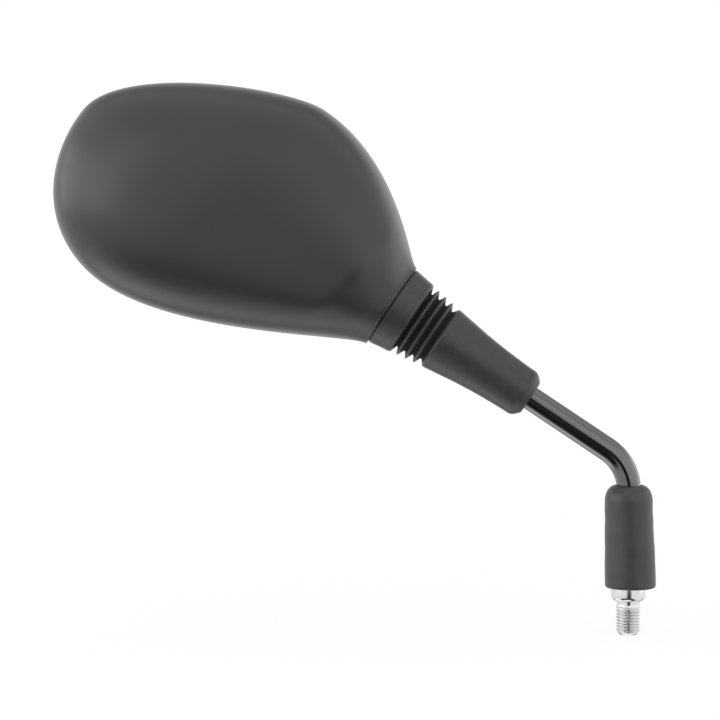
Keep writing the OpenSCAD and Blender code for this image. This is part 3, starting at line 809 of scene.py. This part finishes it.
class MIRROR_OT_stud(bpy.types.Operator):
    """Builds the round collar, the hexagon over it and the rolled thread below"""

    bl_idname = "mirror.stud"
    bl_label = "Threaded stud"

    def execute(self, context):
        collar = turned("stud_collar", [Vector((r * MM, 0, z * MM))
                                        for r, z in fillet(COLLAR, 0.25, 3)],
                        (0, 0, 0), (0, 0, 1), sizes().around)
        settle(collar, "stud", "bright_zinc", "threaded_stud")

        nothing_selected()
        bpy.ops.mesh.primitive_cylinder_add(vertices=6, radius=0.007 / math.cos(math.pi / 6),
                                            depth=0.0075, location=(0, 0, 0.01025))
        hexagon = context.object
        hexagon.name = "stud_hexagon"
        bpy.ops.object.transform_apply(location=True, rotation=True, scale=True)
        bevel = hexagon.modifiers.new("soft", "BEVEL")
        bevel.width, bevel.segments, bevel.limit_method = 0.00022, 3, "ANGLE"
        bpy.ops.object.modifier_apply(modifier="soft")
        limit = turned("hexagon_limit", [Vector((r * MM, 0, z * MM)) for r, z in HEX_LIMIT],
                       (0, 0, 0), (0, 0, 1), 96)
        cut_by(hexagon, limit, "INTERSECT")
        nothing_selected()
        bpy.ops.mesh.primitive_cylinder_add(vertices=64, radius=0.00505, depth=0.012,
                                            location=(0, 0, 0.010))
        cut_by(hexagon, context.object)
        close_up(hexagon, 30)
        settle(hexagon, "stud", "bright_zinc")

        pitch, depth = sizes().thread_pitch / MM, sizes().thread_depth / MM
        around, rows = 128, []
        path = [(RELIEF_R, z) for z in (0.4, 0.0, -0.7, -1.4, RELIEF_END)]
        path += [(THREAD_R, RELIEF_END - 0.07 * k) for k in range(1, 170)]
        path += [(3.2, STUD_END + 0.01)]
        for radius, z in path:
            row = []
            for i in range(around):
                r = radius
                if radius == THREAD_R and z > FULL_THREAD:
                    r = RELIEF_R + min(0.3, (RELIEF_END - z) * 0.6)
                elif radius == THREAD_R:
                    start = min(1.0, (FULL_THREAD - z) / 0.7)
                    r = THREAD_R - depth * start * (1 - ridge(z / pitch + i / around))
                    r = min(r, 3.45 + (z - STUD_END))
                a = math.tau * i / around
                row.append(Vector((r * math.cos(a) * MM, r * math.sin(a) * MM, z * MM)))
            rows.append(row)
        thread = from_grid("stud_thread", rows,
                           ends=(Vector((0, 0, 0.4 * MM)), Vector((0, 0, STUD_END * MM))))
        close_up(thread, 50)
        settle(thread, "stud", "bright_zinc")
        return {"FINISHED"}


class MIRROR_OT_inner_pieces(bpy.types.Operator):
    """Gives the carried-over CAD pieces their finishes"""

    bl_idname = "mirror.inner_pieces"
    bl_label = "Inner pieces"

    def execute(self, context):
        slots = {s["node"]: s["material_slot"] for s in frame["record"]["subparts"]}
        for name, node in frame["nodes"].items():
            node.data.materials.clear()
            node.data.materials.append(finish_for(slots[name]))
        return {"FINISHED"}


# Stage

MIDDLE = Vector((-0.10, 0.0, 0.09))
LAMP_DISTANCE = 1.0
AIM = Vector((-0.1094, 0.0, 0.09735))
VIEW_AZIMUTH, VIEW_RISE, VIEW_DISTANCE = math.radians(4.5), math.radians(3.0), 1.0


def soft_box(name, azimuth, rise, size, glow):
    """An area lamp aimed at the object; glow is how bright its face looks, with 1 for white."""
    azimuth, rise = math.radians(azimuth), math.radians(rise)
    away = Vector((math.sin(azimuth) * math.cos(rise), -math.cos(azimuth) * math.cos(rise),
                   math.sin(rise)))
    nothing_selected()
    bpy.ops.object.light_add(type="AREA", location=MIDDLE + away * LAMP_DISTANCE)
    light = bpy.context.object
    light.name = name
    light.data.shape = "RECTANGLE"
    light.data.size, light.data.size_y = size
    light.data.energy = math.pi * glow * size[0] * size[1]
    light.rotation_euler = (-away).to_track_quat("-Z", "Y").to_euler()
    light.visible_camera = False


def pale_room():
    """World of a pale tent with a dark gap below the camera; the camera itself sees white."""
    world = bpy.data.worlds.new("pale_room")
    world.use_nodes = True
    board = Board(world.node_tree)
    way = board.node("ShaderNodeTexCoord", out="Generated")
    x, y, z = [board.node("ShaderNodeSeparateXYZ", {}, {0: way}, out=k) for k in range(3)]
    turn = board.node("ShaderNodeMath", {"operation": "ARCTAN2"}, {0: x, 1: y * -1.0})
    rise = board.node("ShaderNodeMath", {"operation": "ARCSINE"}, {0: z})

    # a dark gap that sinks to both sides, and a dark post in front
    aside = board.node("ShaderNodeMath", {"operation": "ABSOLUTE"}, {0: turn})
    above = rise + aside * 0.45 + turn * 0.07 + 0.47
    below = above - board.step(turn * -1.0, -0.1, 0.6) * 0.13
    gap = (1.0 - board.step(above, 0.17, 0.33)) * board.step(below, -0.42, -0.26)
    gap = gap * board.step(turn, -1.3, -0.95) * (1.0 - board.step(turn, 1.3, 1.6))
    wide, tall = (turn - 0.09) * 0.8, (rise + 0.22) * 0.72
    post = 1.0 - board.step(wide * wide + tall * tall, 0.035, 0.055)
    gap = board.node("ShaderNodeMath", {"operation": "MAXIMUM"}, {0: gap, 1: post})

    # brighter straight below and low on the left, darker behind the object
    low = (1.0 - board.step(rise, -1.15, -0.95)) * 0.3
    left = board.step(turn * -1.0, 1.4, 1.7) * (1.0 - board.step(turn * -1.0, 2.2, 2.6))
    left = left * board.step(rise, -1.2, -1.0) * (1.0 - board.step(rise, -0.75, -0.55))
    behind = board.step(y, 0.2, 0.65) * (board.step(rise * rise, 0.09, 0.36) * 0.57 + 0.08)
    room = (low + left * 0.8 - behind + 1.1) * (1.0 - gap * 0.98)

    seen = board.node("ShaderNodeLightPath", out="Is Camera Ray")
    board.feed(board.tree.nodes["Background"].inputs["Strength"],
               room * (1.0 - seen) + seen)
    board.feed(board.tree.nodes["Background"].inputs["Color"], (1, 1, 1, 1))
    return world


def floor_white():
    """Pale floor that shows the object's shadow and lets the room's light by from below."""
    f = Finish("floor_white")
    f.surface(Base_Color=(0.9, 0.9, 0.9, 1), Roughness=1.0, Specular_IOR_Level=0.0)
    reach = f.node("ShaderNodeVectorMath", {"operation": "LENGTH"}, {0: f.place()}, out="Value")
    glow = f.node("ShaderNodeEmission", {}, {"Color": (1, 1, 1, 1), "Strength": 1.0})
    shown = f.node("ShaderNodeMixShader", {}, {
        0: f.step(reach, 0.3, 0.8) * 0.12 + 0.88, 1: Shade(f, f.shader.outputs[0]), 2: glow})
    seen = f.node("ShaderNodeLightPath", out="Is Camera Ray")
    clear = f.node("ShaderNodeBsdfTransparent")
    f.show("Material Output", f.node("ShaderNodeMixShader", {}, {0: seen, 1: clear, 2: shown}))
    return f.material


class MIRROR_OT_stage(bpy.types.Operator):
    """Sets up the camera, the lamps, the pale floor and the white background"""

    bl_idname = "mirror.stage"
    bl_label = "Stage"

    def execute(self, context):
        scene = context.scene
        away = Vector((math.sin(VIEW_AZIMUTH) * math.cos(VIEW_RISE),
                       -math.cos(VIEW_AZIMUTH) * math.cos(VIEW_RISE), math.sin(VIEW_RISE)))
        nothing_selected()
        bpy.ops.object.camera_add(location=AIM + away * VIEW_DISTANCE)
        camera = context.object
        camera.rotation_euler = (-away).to_track_quat("-Z", "Y").to_euler()
        camera.data.sensor_width = 36.0
        camera.data.lens = 122.5
        camera.data.clip_start = 0.01
        scene.camera = camera
        scene.view_settings.view_transform = "Standard"

        scene.world = pale_room()

        nothing_selected()
        bpy.ops.mesh.primitive_plane_add(size=12.0, location=(0, 0, -0.0145))
        floor = context.object
        floor.name = "floor"
        floor.data.materials.append(floor_white())

        soft_box("left_box", -72, 15, (1.40, 0.65), 1.5)
        soft_box("front_box", 50, 18, (1.20, 0.75), 0.4)
        soft_box("right_box", 108, 6, (0.90, 0.60), 0.5)
        return {"FINISHED"}


# Panel and run


class MIRROR_PT_panel(bpy.types.Panel):
    """Lists the pieces of the mirror"""

    bl_idname = "MIRROR_PT_panel"
    bl_label = "Scooter Mirror"
    bl_space_type = "VIEW_3D"
    bl_region_type = "UI"
    bl_category = "Mirror"

    def draw(self, context):
        column = self.layout.column()
        for step in STEPS:
            column.operator(step.bl_idname)
        for group in (context.scene.mirror_sizes, context.scene.mirror_colours):
            for name in group.bl_rna.properties.keys():
                if name not in ("rna_type", "name"):
                    column.prop(group, name)


STEPS = (MIRROR_OT_inner_pieces, MIRROR_OT_shell, MIRROR_OT_glass, MIRROR_OT_rubber_boot,
         MIRROR_OT_base_boot, MIRROR_OT_arm, MIRROR_OT_stud, MIRROR_OT_stage)
CLASSES = (MirrorSizes, MirrorColours, *STEPS, MIRROR_PT_panel)


def register():
    for cls in CLASSES:
        bpy.utils.register_class(cls)
    bpy.types.Scene.mirror_sizes = PointerProperty(type=MirrorSizes)
    bpy.types.Scene.mirror_colours = PointerProperty(type=MirrorColours)


def unregister():
    del bpy.types.Scene.mirror_colours
    del bpy.types.Scene.mirror_sizes
    for cls in reversed(CLASSES):
        bpy.utils.unregister_class(cls)


def main():
    register()
    bpy.ops.mirror.inner_pieces()
    bpy.ops.mirror.shell()
    bpy.ops.mirror.glass()
    bpy.ops.mirror.rubber_boot()
    bpy.ops.mirror.base_boot()
    bpy.ops.mirror.arm()
    bpy.ops.mirror.stud()
    bpy.ops.mirror.stage()
    nothing_selected()


if __name__ == "__main__":
    main()
